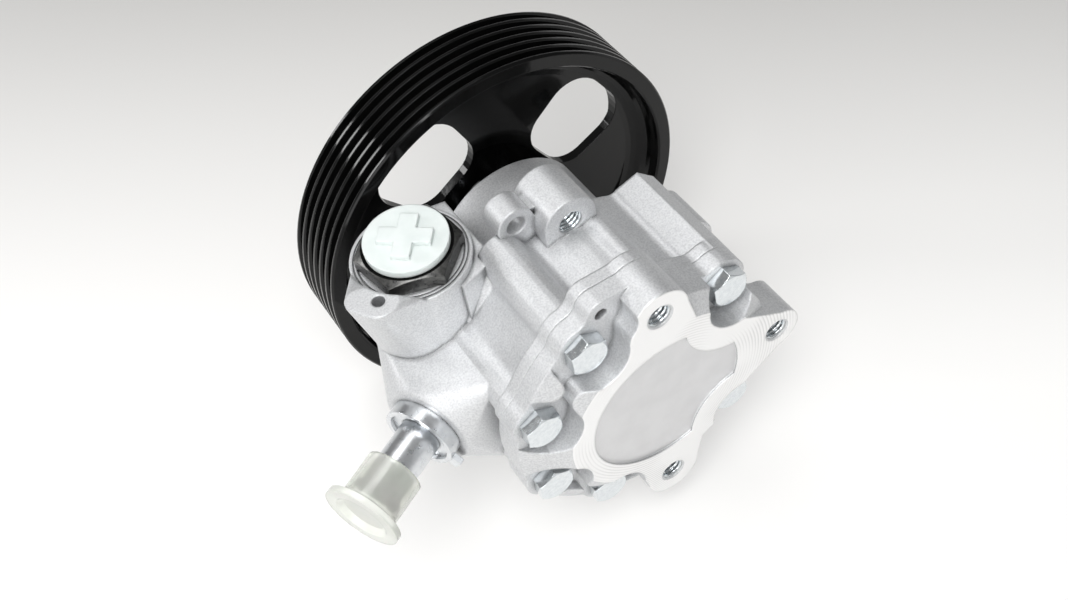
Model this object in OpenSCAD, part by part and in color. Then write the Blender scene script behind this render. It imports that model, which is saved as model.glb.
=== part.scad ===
// Hydraulic power steering pump of the vane type, with a ribbed belt pulley.
// The origin is on the shaft axis at the machined mounting face of the rear cover.
// +Y runs along the shaft towards the pulley, +Z along the outlet port.
// Stations along the shaft are called y, and flat outlines are drawn in x and z.

/* [Mounting face] */
// Distance of the mounting holes from the shaft axis
mount_r = 37; // [35:0.5:39]
// Core diameter of the tapped mounting holes
mount_core_d = 6.8; // [5:0.1:7.5]
// Diameter of the chamfer at the mouth of a tapped hole
mount_mouth_d = 8.6; // [8:0.1:9.5]
// Depth of that chamfer
mount_mouth_h = 0.45; // [0.3:0.05:0.45]
// Core diameter of the formed threads in the two front lugs
front_core_d = 7.3; // [7.2:0.1:7.6]
// Depth of the tapped mounting holes
mount_depth = 11.5; // [9:0.5:12]
// Radius of the lug round a mounting hole
lug_r = 8.5; // [7.5:0.25:9.5]
// Radius of the machined face between the lugs
face_r = 30; // [28:0.5:31]
// Radius of the shallow recess in the machined face
recess_r = 23.5; // [21:0.5:25]
// Depth of that recess
recess_depth = 0.8; // [0.4:0.1:1.5]
// Radius of the bites that the two near bolts take out of the recess
recess_bite_r = 17.2; // [16:0.2:18]

/* [Cover] */
// Thickness of the cover, from the mounting face to the seam
cover_t = 13; // [12.5:0.5:16]
// Depth of the bolt pads below the mounting face
pad_y = 7.5; // [6.5:0.25:8.5]
// Outer radius of the flange on its wide side
flange_r = 42.5; // [41.5:0.5:44]
// Outer radius of the flange on its narrow side
flange_core_r = 36; // [35:0.5:37]
// Radius of the flange round a cover bolt
boss_r = 7.2; // [6.8:0.1:8]
// Radius of the pocket round a bolt head
pocket_r = 9.5; // [8.5:0.25:10]
// Height of the cover's spigot inside the housing
spigot_h = 4; // [3.5:0.25:5]
// Distance and diameter of the small locating hole beside the upper lug
locate_r = 42.4; // [41.5:0.2:43]
locate_d = 3.6; // [2.5:0.1:4.2]

/* [Cover bolts] */
// Distance of the four outer bolts from the shaft axis
bolt_r = 37.3; // [36.5:0.2:38.5]
// Distance of the two bolts near the side lug
near_bolt_r = 34.5; // [34:0.1:35.5]
// Shank diameter
bolt_d = 6; // [5:0.5:6.5]
// Width of the hexagon across its flats
bolt_af = 10; // [9:0.5:11]
// Height of the head
bolt_head = 4; // [3.5:0.25:4.5]
// Length under the head
bolt_l = 18; // [15:0.5:19]

/* [Housing] */
// Thickness of the housing's flange
flange_t = 3.6; // [3:0.2:5]
// Radius of the body
body_r = 33.5; // [33:0.25:34.5]
// Station where the body ends and the shoulder begins
body_end = 47; // [46:0.5:49]
// Radius of the ribs over the cover bolts
rib_r = 6.4; // [5.8:0.2:7]
// Radius of the bearing nose
nose_r = 24; // [23.5:0.25:25]
// Station where the nose leaves the shoulder
nose_start = 57; // [56:0.5:59]
// Station of the nose's front face
nose_end = 80; // [79.5:0.25:81.5]
// Radius of the chamber for the pumping parts
chamber_r = 28.5; // [28.2:0.1:28.8]
// Rear and front stations of the tapped front lug
front_lug_y0 = 39.4; // [37:0.2:42]
front_lug_y1 = 55; // [53:0.5:57]
// Rear and front stations of the small upper lug
small_lug_y0 = 45; // [43:0.5:47]
small_lug_y1 = 53; // [51:0.5:55]
// Radius of the small lug and of its hole
small_lug_r = 5.4; // [4.8:0.2:6]
small_lug_hole_d = 5.8; // [4:0.2:6.4]

/* [Pumping parts] */
// Thickness of the rear side plate
rear_plate_t = 4; // [3.5:0.25:5]
// Width of the cam ring
cam_w = 14; // [12:0.5:14.5]
// Thickness of the front pressure plate
front_plate_t = 6; // [5:0.25:7]
// Height of the disc spring in front of the pressure plate
disc_spring_h = 2.4; // [2:0.1:3]
// Smallest and largest bore radius of the cam ring
cam_minor_r = 20.1; // [19.9:0.05:20.4]
cam_major_r = 22.4; // [21.5:0.1:22.6]
// Radius of the rotor
rotor_r = 19.5; // [18.5:0.1:19.7]
// Number of vanes
vane_n = 10; // [8:2:12]
// Thickness and height of a vane
vane_t = 1.6; // [1.2:0.1:2]
vane_h = 7; // [6:0.25:7.5]
// Diameter of the two locating dowels
dowel_d = 3; // [2.5:0.25:3]
// Distance of the dowels' axes from the chamber wall
dowel_inset = 3.6; // [3.6:0.1:3.9]

/* [Shaft and bearing] */
// Shaft radius at the bearing and in the pulley
shaft_front_r = 8.5; // [8.3:0.1:8.8]
// Shaft radius in the main bush
shaft_mid_r = 8; // [7.8:0.05:8.2]
// Shaft radius inside the rotor
shaft_rotor_r = 7.2; // [7:0.1:7.5]
// Shaft radius in the cover's bush
shaft_tail_r = 6; // [5.5:0.1:6.4]
// Wall of the two bushes
bush_wall = 1.6; // [1.2:0.1:1.9]
// Length of the main bush
bush_l = 9; // [7:0.5:10]
// Outer radius of the ball bearing
bearing_r = 20; // [19.5:0.1:20.5]
// Width of the ball bearing
bearing_w = 12; // [11:0.5:12.5]
// Radius and number of the balls
ball_r = 3.3; // [3:0.05:3.5]
ball_n = 8; // [6:1:9]
// Outer radius and width of the shaft seal
seal_r = 15; // [14:0.25:16]
seal_w = 6; // [5:0.25:6.5]

/* [Pulley] */
// Outer radius over the ribs
pulley_r = 59.3; // [57.5:0.1:61]
// Station of the rear edge of the rim
rim_start = 78.5; // [78:0.1:79]
// Number of belt grooves
groove_n = 6; // [5:1:6]
// Pitch of the belt grooves
groove_pitch = 3.56; // [3.4:0.02:3.6]
// Depth of a belt groove
groove_depth = 2.6; // [2:0.1:2.9]
// Radial thickness of the rim under the grooves
rim_wall = 4.7; // [4.4:0.1:5.5]
// Station of the rear face of the web
web_y = 86.5; // [86:0.25:88]
// Thickness of the web
web_t = 3; // [2.5:0.1:4]
// Radius of the hub
hub_r = 14; // [13:0.25:15]
// Length of the hub in front of the web
hub_nose = 4.5; // [3.5:0.25:8]
// Number of web windows
window_n = 4; // [3:1:5]
// Inner and outer radius reached by a web window
window_in_r = 22; // [21:0.1:24]
window_out_r = 48.8; // [47:0.2:50]

/* [Outlet] */
// Place of the outlet axis beside the shaft
outlet_x = -38.9; // [-40:0.1:-38]
// Station of the outlet axis
outlet_y = 57; // [56:0.1:58]
// Height of the machined seat round the outlet
outlet_z = 37; // [35:0.2:39]
// Radius of the outlet column
column_r = 16.4; // [16:0.1:17]
// Height of the column's foot
column_z = -10; // [-12:0.5:-9]
// Width of the union's hexagon across its flats
union_af = 25.5; // [24:0.5:27]
// Height of that hexagon
union_hex_h = 4.6; // [4:0.2:7]
// Radius of the union's threaded shank
union_shank_r = 10; // [9.5:0.1:10.5]
// Length of the shank
union_shank_l = 13; // [11:0.5:14]
// Radius of the port in the union
port_r = 7.2; // [6.5:0.1:7.6]
// Radius of the transit plug's head
plug_r = 11.5; // [11:0.1:12.8]
// Thickness of the transit plug's head
plug_t = 2.1; // [1.5:0.1:3]
// Radius of the flow valve's bore
valve_r = 8; // [7.5:0.1:8.4]
// Length of the flow valve
valve_l = 18; // [16:0.5:18]
// Travel of the flow valve against its spring
valve_travel = 5; // [3:0.5:6]

/* [Inlet] */
// Centre of the inlet boss's end face
inlet_x = -55.8; // [-57:0.1:-55]
inlet_y = 33; // [32:0.25:34]
inlet_z = 0; // [-1:0.1:1]
// Angle by which the inlet leans back towards the mounting face
inlet_lean = 26; // [22:0.5:30]
// Radius of the inlet boss at its end face
inlet_boss_r = 13.6; // [12.8:0.1:14.2]
// Length of its straight end
inlet_neck = 2.5; // [1.5:0.1:4]
// Outer radius and wall of the inlet tube
tube_r = 6; // [5.6:0.1:6.3]
tube_wall = 1; // [0.8:0.1:1.4]
// Length of the tube outside the boss
tube_out = 27; // [25:0.5:29]
// Length of the tube inside the boss
tube_in = 12; // [10:0.5:13]
// Outer radius and length of the tube's retainer
retainer_r = 10.4; // [10:0.1:11]
retainer_l = 4.4; // [4:0.1:5.5]
// Outer radius of the transit cap's sleeve
cap_r = 8.2; // [7.9:0.1:8.8]
// Length of the sleeve
cap_l = 12.5; // [11:0.5:14]
// Radius and thickness of the cap's end flange
cap_flange_r = 11.2; // [10.5:0.1:12]
cap_flange_t = 1.8; // [1.4:0.1:2.5]

/* [Fits] */
// Running clearance of a shaft, vane or valve
run_gap = 0.05; // [0.02:0.01:0.09]
// Clearance of a bolt or a located piece in its hole
slip_gap = 0.03; // [0.02:0.01:0.1]
// Free gap between a turning piece and a fixed one
free_gap = 0.35; // [0.3:0.05:0.6]

/* [Hidden] */
$fn = 64;

// Cutters pass this far beyond the faces that they open
over = 1;
// Facets of a blended cast outline
cast_fn = 24;

// Stations of the pumping parts, stacked forward from the seam
plate_y0 = cover_t + spigot_h;
cam_y0 = plate_y0 + rear_plate_t;
cam_y1 = cam_y0 + cam_w;
plate_y1 = cam_y1 + front_plate_t;
chamber_end = plate_y1 + disc_spring_h;
bush_end = chamber_end + bush_l;
seal_wall = 2;
seal_y0 = bush_end + seal_wall;
seal_y1 = seal_y0 + seal_w;
bearing_y0 = seal_y1 + seal_wall / 2;
bearing_y1 = bearing_y0 + bearing_w;
clip_t = 1.4;
clip_y1 = bearing_y1 + clip_t;
rim_side = 0.75;
rim_w = groove_n * groove_pitch + 2 * rim_side;
rim_end = rim_start + rim_w;
hub_front = web_y + web_t + hub_nose;

// Places of the cover bolts and mounting holes, seen along the shaft
function polar(r, a) = [r * cos(a), r * sin(a)];
outer_bolt_angles = [120.4, 159, -159, -120.4];
near_bolt_angles = [45.3, -45.3];
near_bolts = [for (a = near_bolt_angles) polar(near_bolt_r, a)];
bolt_spots = concat([for (a = outer_bolt_angles) polar(bolt_r, a)], near_bolts);
mount_angles = [0, 90, -90];
locate_spot = polar(locate_r, 106.8);
small_lug_spot = [-13, 40.2];
dowel_r = chamber_r - dowel_inset;
dowel_spots = [[dowel_r, 0], [-dowel_r, 0]];

// Stands an outline of x and z between two stations on the shaft
module slab(y0, y1) {
    translate([0, y1, 0])
        rotate([90, 0, 0])
            linear_extrude(y1 - y0)
                children();
}

// Turns a profile of radius and station about the shaft
module turned() {
    rotate([-90, 0, 0])
        rotate_extrude()
            children();
}

// Round bar along the shaft at a place in x and z
module bar(r, y0, y1, at = [0, 0], r_end = undef) {
    translate([at[0], y0, at[1]])
        rotate([-90, 0, 0])
            cylinder(r1 = r, r2 = is_undef(r_end) ? r : r_end, h = y1 - y0);
}

// Ring of rectangular section round the shaft
module ring(r_in, r_out, y0, y1) {
    turned()
        translate([r_in, y0])
            square([r_out - r_in, y1 - y0]);
}

// Round cord ring about the shaft
module cord_ring(r_mid, r_cord, y) {
    turned()
        translate([r_mid, y])
            circle(r_cord);
}

// Fills the inside corners of a cast outline
module blended(f) {
    offset(r = -f, $fn = cast_fn)
        offset(r = f, $fn = cast_fn)
            children();
}

// Moves children onto the outlet axis, with their zero at the machined seat
module on_outlet() {
    translate([outlet_x, outlet_y, outlet_z])
        children();
}

// Moves children onto the inlet axis, with their zero at the boss's end face
module on_inlet() {
    translate([inlet_x, inlet_y, inlet_z])
        rotate([0, -90, inlet_lean])
            children();
}

// Lug that reaches from the shaft to a hole, with flanks that spread inwards
lug_spread = 5.5;
module lug_outline(angle, r) {
    rotate(angle) {
        translate([mount_r, 0])
            circle(r, $fn = cast_fn);
        polygon([
            [face_r / 2, -r - lug_spread],
            [mount_r, -r],
            [mount_r, r],
            [face_r / 2, r + lug_spread]
        ]);
    }
}

// Side lug: a block with straight flanks and a blunt end
side_lug_r = 7.2;
side_lug_tip = [5.7, 4.4];
side_lug_root = 21.6;
module side_lug_outline() {
    translate([mount_r, 0])
        circle(side_lug_r, $fn = cast_fn);
    polygon([
        [face_r / 2, -side_lug_root],
        [mount_r + side_lug_tip[0], -side_lug_tip[1]],
        [mount_r + side_lug_tip[0], side_lug_tip[1]],
        [face_r / 2, side_lug_root]
    ]);
}

// Flange outline that the cover and the housing share
flange_blend = 4;
locate_boss_r = 4.4;
module flange_outline() {
    blended(flange_blend) {
        circle(flange_core_r, $fn = cast_fn * 2);
        intersection() {
            circle(flange_r, $fn = cast_fn * 2);
            translate([-2 * flange_r, -flange_r])
                square(2 * flange_r);
        }
        for (p = bolt_spots)
            translate(p)
                circle(boss_r, $fn = cast_fn);
        lug_outline(90, lug_r);
        hull() {
            translate(locate_spot)
                circle(locate_boss_r, $fn = cast_fn);
            translate(polar(mount_r, 90))
                circle(lug_r - over, $fn = cast_fn);
        }
    }
}

// Cover section that falls from the machined face to the outer rim
module cover_slope() {
    polygon([
        [0, 0],
        [face_r, 0],
        [flange_r, pad_y],
        [flange_r + lug_r, pad_y],
        [flange_r + lug_r, cover_t],
        [0, cover_t]
    ]);
}

// Scoops round the bolt heads, one of them run on to the locating hole
locate_pocket_r = 6;
module pocket_outline() {
    blended(flange_blend) {
        for (p = bolt_spots)
            translate(p)
                circle(pocket_r, $fn = cast_fn);
        translate(locate_spot)
            circle(locate_pocket_r, $fn = cast_fn);
    }
}

// Tapped blind hole with a chamfered mouth, opening towards the rear
module tapped_hole(at, y0, depth) {
    bar(mount_core_d / 2, y0 - over, y0 + depth, at);
    bar(mount_mouth_d / 2, y0 - over, y0, at);
    bar(mount_mouth_d / 2, y0, y0 + mount_mouth_h, at, mount_core_d / 2);
}

// Round seal cord of the spigot
cover_cord = 0.9;
cover_cord_r = chamber_r - cover_cord - slip_gap;
cover_cord_y = cover_t + spigot_h / 2;
rear_bush_l = 7;
rear_bush_y1 = plate_y0 - 1;
rear_bush_y0 = rear_bush_y1 - rear_bush_l;
tail_end = rear_bush_y0 - 1;
dowel_sink = 3;
dowel_y0 = plate_y0 - dowel_sink;
dowel_y1 = plate_y1 - 1;
rear_bush_r = shaft_tail_r + run_gap + bush_wall;

module rear_cover() {
    color("gainsboro")
        difference() {
            union() {
                intersection() {
                    slab(0, cover_t)
                        flange_outline();
                    turned()
                        cover_slope();
                }
                slab(0, cover_t)
                    side_lug_outline();
                for (a = [90, -90])
                    slab(0, cover_t)
                        lug_outline(a, lug_r);
                bar(chamber_r - slip_gap, cover_t - over, plate_y0);
            }
            slab(-over, pad_y)
                pocket_outline();
            for (p = bolt_spots)
                bar(bolt_d / 2 + 10 * slip_gap, 0, cover_t + over, p);
            slab(-over, recess_depth)
                difference() {
                    circle(recess_r);
                    for (p = near_bolts)
                        translate(p)
                            circle(recess_bite_r);
                }
            for (a = mount_angles)
                tapped_hole(polar(mount_r, a), 0, mount_depth);
            bar(locate_d / 2, 0, cover_t - 2, locate_spot);
            bar(rear_bush_r + slip_gap, rear_bush_y0, plate_y0 + over);
            bar(shaft_tail_r + free_gap, tail_end - 1, plate_y0);
            for (p = dowel_spots)
                bar(dowel_d / 2 + slip_gap, dowel_y0 - slip_gap, plate_y0 + over, p);
            ring(cover_cord_r - cover_cord - slip_gap, chamber_r + over,
                cover_cord_y - cover_cord - slip_gap, cover_cord_y + cover_cord + slip_gap);
        }
}

module hex_head(af, h, face_d) {
    intersection() {
        cylinder(d = af / cos(30), h = h, $fn = 6);
        cylinder(d1 = face_d, d2 = face_d + 2 * h / tan(30), h = h);
    }
}

head_face_d = bolt_af * 0.98;
bolt_turn = 30;
module cover_bolts() {
    color("silver")
        for (p = bolt_spots)
            translate([p[0], pad_y - bolt_head, p[1]])
                rotate([-90, bolt_turn, 0]) {
                    hex_head(bolt_af, bolt_head, head_face_d);
                    cylinder(d = bolt_d, h = bolt_head + bolt_l);
                }
}

module cover_seal() {
    color("dimgray")
        cord_ring(cover_cord_r, cover_cord, cover_cord_y);
}

module rear_bush() {
    color("peru")
        ring(shaft_tail_r + run_gap, rear_bush_r, rear_bush_y0, rear_bush_y1);
}

// Body section between the flange and the shoulder: ribs over the bolts, flats between them
body_blend = 3;
body_flat_r = 35.5;
top_rib_r = 5;
top_rib_x = 6.5;
top_rib_sink = 4.2;
// Raised flat panel between the two ribs beside the outlet column
panel_d = 37.4;
panel_turn = 131.9;
module body_outline() {
    flat_angles = [45.3, 120.4, 159, 201, 239.6, 270, 314.7];
    blended(body_blend) {
        circle(body_r, $fn = cast_fn * 2);
        polygon([for (a = flat_angles) polar(body_flat_r, a)]);
        for (a = outer_bolt_angles)
            translate(polar(bolt_r, a))
                circle(rib_r, $fn = cast_fn);
        for (a = near_bolt_angles)
            rotate(a + 30)
                translate(polar(near_bolt_r, -30))
                    circle(rib_r / cos(30), $fn = 6);
        polygon(concat([[0, 0]], [for (i = [0, 1]) polar(
            panel_d / cos(outer_bolt_angles[i] - panel_turn), outer_bolt_angles[i]
        )]));
        translate([top_rib_x, body_r - top_rib_sink])
            circle(top_rib_r, $fn = cast_fn);
    }
}

// Shoulder that sweeps in to the bearing nose
nose_edge = 0.8;
module nose_profile() {
    polygon(concat(
        [[0, body_end - over], [body_r - over, body_end - over]],
        [for (t = [0:10:90])
            [body_r - (body_r - nose_r) * sin(t), nose_start - (nose_start - body_end) * cos(t)]],
        [[nose_r, nose_end - nose_edge], [nose_r - nose_edge, nose_end], [0, nose_end]]
    ));
}

// Lug on the shoulder, joined down to the body
module shoulder_lug(at, r, y0, y1) {
    lift = norm(at);
    slab(y0, y1)
        rotate(atan2(at[1], at[0])) {
            translate([lift, 0])
                circle(r, $fn = cast_fn);
            translate([nose_r / 2, -r])
                square([lift - nose_r / 2, 2 * r]);
        }
}

front_lug_r = 8;
// Step between a cast wall and a form that runs into it
boss_step = 0.7;
// Outlet column with a pin lug at its rear edge
pin_lug_r = 5.2;
pin_lug_tip_r = 3.4;
pin_lug_lift = 4;
pin_lug_drop = 30;
pin_hole_d = 3.6;
pin_hole_depth = 8;
pin_lug_side = 15.1;
pin_lug_rear = 11.5;
pin_lug_at = [outlet_x - pin_lug_side, outlet_y - pin_lug_rear, outlet_z + pin_lug_lift];
pin_lug_tip = [-4.2, 3.6, 0];
link_x = -21.6;
link_foot = 6;
// Sloping strip where the flat panel runs up to the column
strip_y = 40;
strip_rise = 4.5;
strip_from = -4;
strip_to = 12;
module outlet_column() {
    seat_lip = 2.4;
    translate([outlet_x, outlet_y, column_z])
        cylinder(r = column_r, h = outlet_z - column_z);
    translate([0, 0, column_z])
        linear_extrude(outlet_z - seat_lip - column_z)
            polygon([
                [outlet_x, outlet_y + column_r],
                [link_x, outlet_y + column_r - 4],
                [link_x, body_end - 3],
                [outlet_x + link_foot, outlet_y - column_r]
            ]);
    rotate([0, -panel_turn, 0])
        translate([0, 0, strip_from])
            linear_extrude(strip_to - strip_from)
                polygon([
                    [panel_d - strip_rise, strip_y],
                    [panel_d - over, strip_y],
                    [panel_d + strip_rise, strip_y + strip_rise],
                    [panel_d + strip_rise, outlet_y],
                    [panel_d - strip_rise, outlet_y]
                ]);
    hull() {
        translate(pin_lug_at - [0, 0, over])
            cylinder(r = pin_lug_r, h = over, $fn = 32);
        translate(pin_lug_at + pin_lug_tip - [0, 0, over])
            cylinder(r = pin_lug_tip_r, h = over, $fn = 32);
        translate([outlet_x, outlet_y, outlet_z - pin_lug_drop])
            cylinder(r = column_r - boss_step, h = pin_lug_drop - 2 * over, $fn = 32);
    }
}

// Flow valve and its spring, stacked below the union
shank_z = -union_shank_l;
valve_z1 = shank_z - free_gap;
valve_z0 = valve_z1 - valve_l;
spring_l = 8;
valve_floor = valve_z0 - spring_l;
passage_r = 2.5;
passage_z = 8;
passage_l = 22;
passage_turn = 133;
// Turned rings on the outlet seat
seat_rings = [14.3, 15.3];
seat_ring_w = 0.45;
module outlet_bores() {
    seal_seat_r = union_shank_r + 2.45;
    seal_seat = 2.4;
    seat_r = column_r;
    on_outlet() {
        translate([0, 0, -seal_seat])
            cylinder(r = seal_seat_r, h = seal_seat + over);
        translate([0, 0, shank_z])
            cylinder(r = union_shank_r + slip_gap, h = union_shank_l + over);
        translate([0, 0, valve_floor])
            cylinder(r = valve_r, h = shank_z - valve_floor + over);
        cylinder(r = seat_r, h = pin_lug_lift + over);
        for (r = seat_rings)
            translate([0, 0, -seat_ring_w])
                difference() {
                    cylinder(r = r + seat_ring_w / 2, h = seat_ring_w + over);
                    translate([0, 0, -over])
                        cylinder(r = r - seat_ring_w / 2, h = seat_ring_w + 3 * over);
                }
    }
    translate(pin_lug_at - [0, 0, pin_hole_depth])
        cylinder(d = pin_hole_d, h = pin_hole_depth + over);
    translate([-chamber_r + 3 * passage_r, chamber_end - passage_r, passage_z])
        rotate([0, 90, passage_turn])
            cylinder(r = passage_r, h = passage_l);
}

// Inlet boss that spreads into the column and over the two ribs on that side
boss_top = 13;
boss_y0 = 21;
boss_y1 = 40;
boss_spread_l = 12;
module inlet_boss() {
    hull() {
        on_inlet()
            translate([0, 0, -inlet_neck])
                cylinder(r = inlet_boss_r, h = inlet_neck - boss_step, $fn = 48);
        on_inlet()
            translate([0, 0, -over])
                cylinder(r = inlet_boss_r - boss_step, h = over, $fn = 48);
        translate([outlet_x, outlet_y, column_z])
            cylinder(r = column_r - over, h = boss_top - column_z, $fn = 32);
        on_inlet()
            translate([0, 0, -boss_spread_l - over])
                cylinder(r = inlet_boss_r + 2, h = over, $fn = 32);
        for (i = [1, 2])
            bar(rib_r - over, boss_y0, boss_y1, bolt_spots[i], $fn = 32);
    }
}

tube_seat_r = 8.4;
tube_seat_t = 1.2;
module inlet_bores() {
    suction_r = 4.5;
    cross_r = suction_r - 0.5;
    suction_at = [inlet_x + tube_in * cos(inlet_lean), inlet_y + tube_in * sin(inlet_lean), inlet_z];
    on_inlet() {
        translate([0, 0, -tube_in])
            cylinder(r = tube_r + slip_gap, h = tube_in + over);
        translate([0, 0, -tube_seat_t - 2 * tube_cord - 2 * slip_gap])
            cylinder(r = tube_seat_r + slip_gap, h = tube_seat_t + 2 * tube_cord + over);
        translate([0, 0, -tube_in - suction_r])
            cylinder(r = suction_r, h = tube_in);
    }
    translate(suction_at)
        rotate([0, 90, 0])
            cylinder(r = cross_r, h = -suction_at[0] - chamber_r + 2 * over);
}

module housing() {
    color("lightgray")
        difference() {
            union() {
                slab(cover_t, cover_t + flange_t)
                    flange_outline();
                slab(cover_t, body_end)
                    body_outline();
                turned()
                    nose_profile();
                shoulder_lug(polar(mount_r, 90), front_lug_r, front_lug_y0, front_lug_y1);
                shoulder_lug(polar(mount_r, 0), front_lug_r, front_lug_y0, front_lug_y1);
                shoulder_lug(small_lug_spot, small_lug_r, small_lug_y0, small_lug_y1);
                slab(small_lug_y0 + over, small_lug_y1 - over)
                    polygon([
                        small_lug_spot + [0, small_lug_r / 2],
                        polar(mount_r + front_lug_r / 2, 90),
                        polar(nose_r, 90),
                        small_lug_spot - [0, 2 * small_lug_r]
                    ]);
                outlet_column();
                inlet_boss();
            }
            bar(chamber_r, cover_t - over, chamber_end);
            bar(main_bush_r + slip_gap, chamber_end - over, bush_end);
            bar(shaft_mid_r + free_gap, chamber_end, seal_y0 + over);
            bar(seal_r + slip_gap, seal_y0, bearing_y0 + over);
            bar(bearing_r + slip_gap, bearing_y0, nose_end + over);
            bar(bearing_r + clip_sink, bearing_y1, clip_y1 + slip_gap);
            for (p = bolt_spots)
                bar(bolt_d / 2 + slip_gap, cover_t - over, pad_y + bolt_l + over, p);
            for (a = [0, 90])
                bar(front_core_d / 2, front_lug_y0 - over, front_lug_y1 + over, polar(mount_r, a));
            bar(small_lug_hole_d / 2, small_lug_y0 - over, small_lug_y1 + over, small_lug_spot);
            outlet_bores();
            inlet_bores();
        }
}

plate_r = chamber_r - slip_gap;
// Curved port through a side plate
module plate_port(r, w, from, sweep, y0, y1) {
    rotate([-90, 0, 0])
        rotate([0, 0, from])
            translate([0, 0, y0])
                rotate_extrude(angle = sweep)
                    translate([r - w / 2, 0])
                        square([w, y1 - y0]);
}

port_sweep = 50;
port_w = 3;
port_turns = [20, 110, 200, 290];
module rear_plate() {
    color("darkgray")
        difference() {
            ring(rotor_clip_r + free_gap, plate_r, plate_y0, cam_y0);
            for (p = dowel_spots)
                bar(dowel_d / 2 + slip_gap, plate_y0 - over, cam_y0 + over, p);
            for (a = port_turns)
                plate_port(rotor_r, port_w, a, port_sweep, cam_y0 - 2, cam_y0 + over);
        }
}

// Oval bore: two pumping strokes in each turn
function cam_bore(a) = (cam_major_r + cam_minor_r) / 2 - (cam_major_r - cam_minor_r) / 2 * cos(2 * a);
module cam_ring() {
    color("slategray")
        difference() {
            bar(plate_r, cam_y0, cam_y1);
            slab(cam_y0 - over, cam_y1 + over)
                polygon([for (a = [0:5:355]) polar(cam_bore(a), a)]);
            for (p = dowel_spots)
                bar(dowel_d / 2 + slip_gap, cam_y0 - over, cam_y1 + over, p);
        }
}

rotor_y0 = cam_y0 + run_gap;
rotor_y1 = cam_y1 - run_gap;
vane_tip_r = cam_minor_r - free_gap;
slot_foot_r = vane_tip_r - vane_h - vane_t;
// Radial plates round the rotor
module radial_plates(r0, r1, t, y0, y1) {
    for (i = [0:vane_n - 1])
        rotate([0, i * 360 / vane_n, 0])
            translate([r0, y0, -t / 2])
                cube([r1 - r0, y1 - y0, t]);
}

module rotor() {
    color("gray")
        difference() {
            ring(shaft_rotor_r, rotor_r, rotor_y0, rotor_y1);
            radial_plates(slot_foot_r, rotor_r + over, vane_t + 2 * slip_gap, rotor_y0 - over, rotor_y1 + over);
            for (i = [0:vane_n - 1])
                bar(vane_t, rotor_y0 - over, rotor_y1 + over, polar(slot_foot_r, -i * 360 / vane_n));
        }
}

module vanes() {
    color("darkslategray")
        radial_plates(vane_tip_r - vane_h, vane_tip_r, vane_t, rotor_y0, rotor_y1);
}

plate_cord = 0.9;
plate_cord_r = chamber_r - plate_cord - slip_gap;
plate_cord_y = cam_y1 + front_plate_t / 2;
module front_plate() {
    color("darkgray")
        difference() {
            ring(shaft_mid_r + free_gap, plate_r, cam_y1, plate_y1);
            for (p = dowel_spots)
                bar(dowel_d / 2 + slip_gap, cam_y1 - over, dowel_y1 + slip_gap, p);
            for (a = port_turns)
                plate_port(rotor_r, port_w, a, port_sweep, cam_y1 - over, plate_y1 + over);
            ring(plate_cord_r - plate_cord - slip_gap, chamber_r + over,
                plate_cord_y - plate_cord - slip_gap, plate_cord_y + plate_cord + slip_gap);
        }
}

module plate_seal() {
    color("dimgray")
        cord_ring(plate_cord_r, plate_cord, plate_cord_y);
}

// Coned disc that presses the front plate against the cam ring
disc_spring_t = 1;
disc_spring_in = 15;
disc_spring_out = 26;
module disc_spring() {
    color("darkgray")
        turned()
            polygon([
                [disc_spring_in, chamber_end - disc_spring_t],
                [disc_spring_in, chamber_end],
                [disc_spring_out, plate_y1 + disc_spring_t],
                [disc_spring_out, plate_y1]
            ]);
}

module dowels() {
    color("silver")
        for (p = dowel_spots)
            bar(dowel_d / 2, dowel_y0, dowel_y1, p);
}

rotor_clip_r = shaft_rotor_r + 2.2;
rotor_clip_t = 1.2;
rotor_clip_y0 = rotor_y0 - rotor_clip_t;
clip_groove = 0.8;
module drive_shaft() {
    centre_drill = 2;
    color("silver")
        difference() {
            turned()
                polygon([
                    [0, tail_end],
                    [shaft_tail_r - 1, tail_end],
                    [shaft_tail_r, tail_end + 1],
                    [shaft_tail_r, plate_y0],
                    [shaft_rotor_r, plate_y0],
                    [shaft_rotor_r, rotor_y1],
                    [shaft_mid_r, rotor_y1],
                    [shaft_mid_r, bearing_y0],
                    [shaft_front_r, bearing_y0],
                    [shaft_front_r, hub_front],
                    [shaft_front_r - 1, hub_front + 1],
                    [0, hub_front + 1]
                ]);
            ring(shaft_rotor_r - clip_groove, shaft_rotor_r + over, rotor_clip_y0, rotor_y0);
            bar(0.5, hub_front - 2, hub_front + 1 + over, [0, 0], centre_drill + 1);
        }
}

// Open spring clip in a groove
module rotor_clip() {
    color("dimgray")
        difference() {
            ring(shaft_rotor_r - clip_groove, rotor_clip_r, rotor_clip_y0, rotor_y0);
            translate([0, rotor_clip_y0 - over, -1.5])
                cube([rotor_clip_r + over, rotor_clip_t + 2 * over, 3]);
        }
}

main_bush_r = shaft_mid_r + run_gap + bush_wall;
module main_bush() {
    color("peru")
        ring(shaft_mid_r + run_gap, main_bush_r, chamber_end, bush_end);
}

// Cased lip seal, its lip turned towards the pumping parts
module shaft_seal() {
    case_t = 1.2;
    lip_w = 2;
    color("dimgray")
        turned()
            polygon([
                [shaft_mid_r + run_gap, seal_y0 + 0.5],
                [shaft_mid_r + lip_w, seal_y0 + 0.5],
                [shaft_mid_r + lip_w + 0.6, seal_y1 - case_t],
                [seal_r - case_t, seal_y1 - case_t],
                [seal_r - case_t, seal_y0],
                [seal_r, seal_y0],
                [seal_r, seal_y1],
                [shaft_mid_r + lip_w - 0.8, seal_y1],
                [shaft_mid_r + run_gap, seal_y0 + 1.6]
            ]);
}

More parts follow.
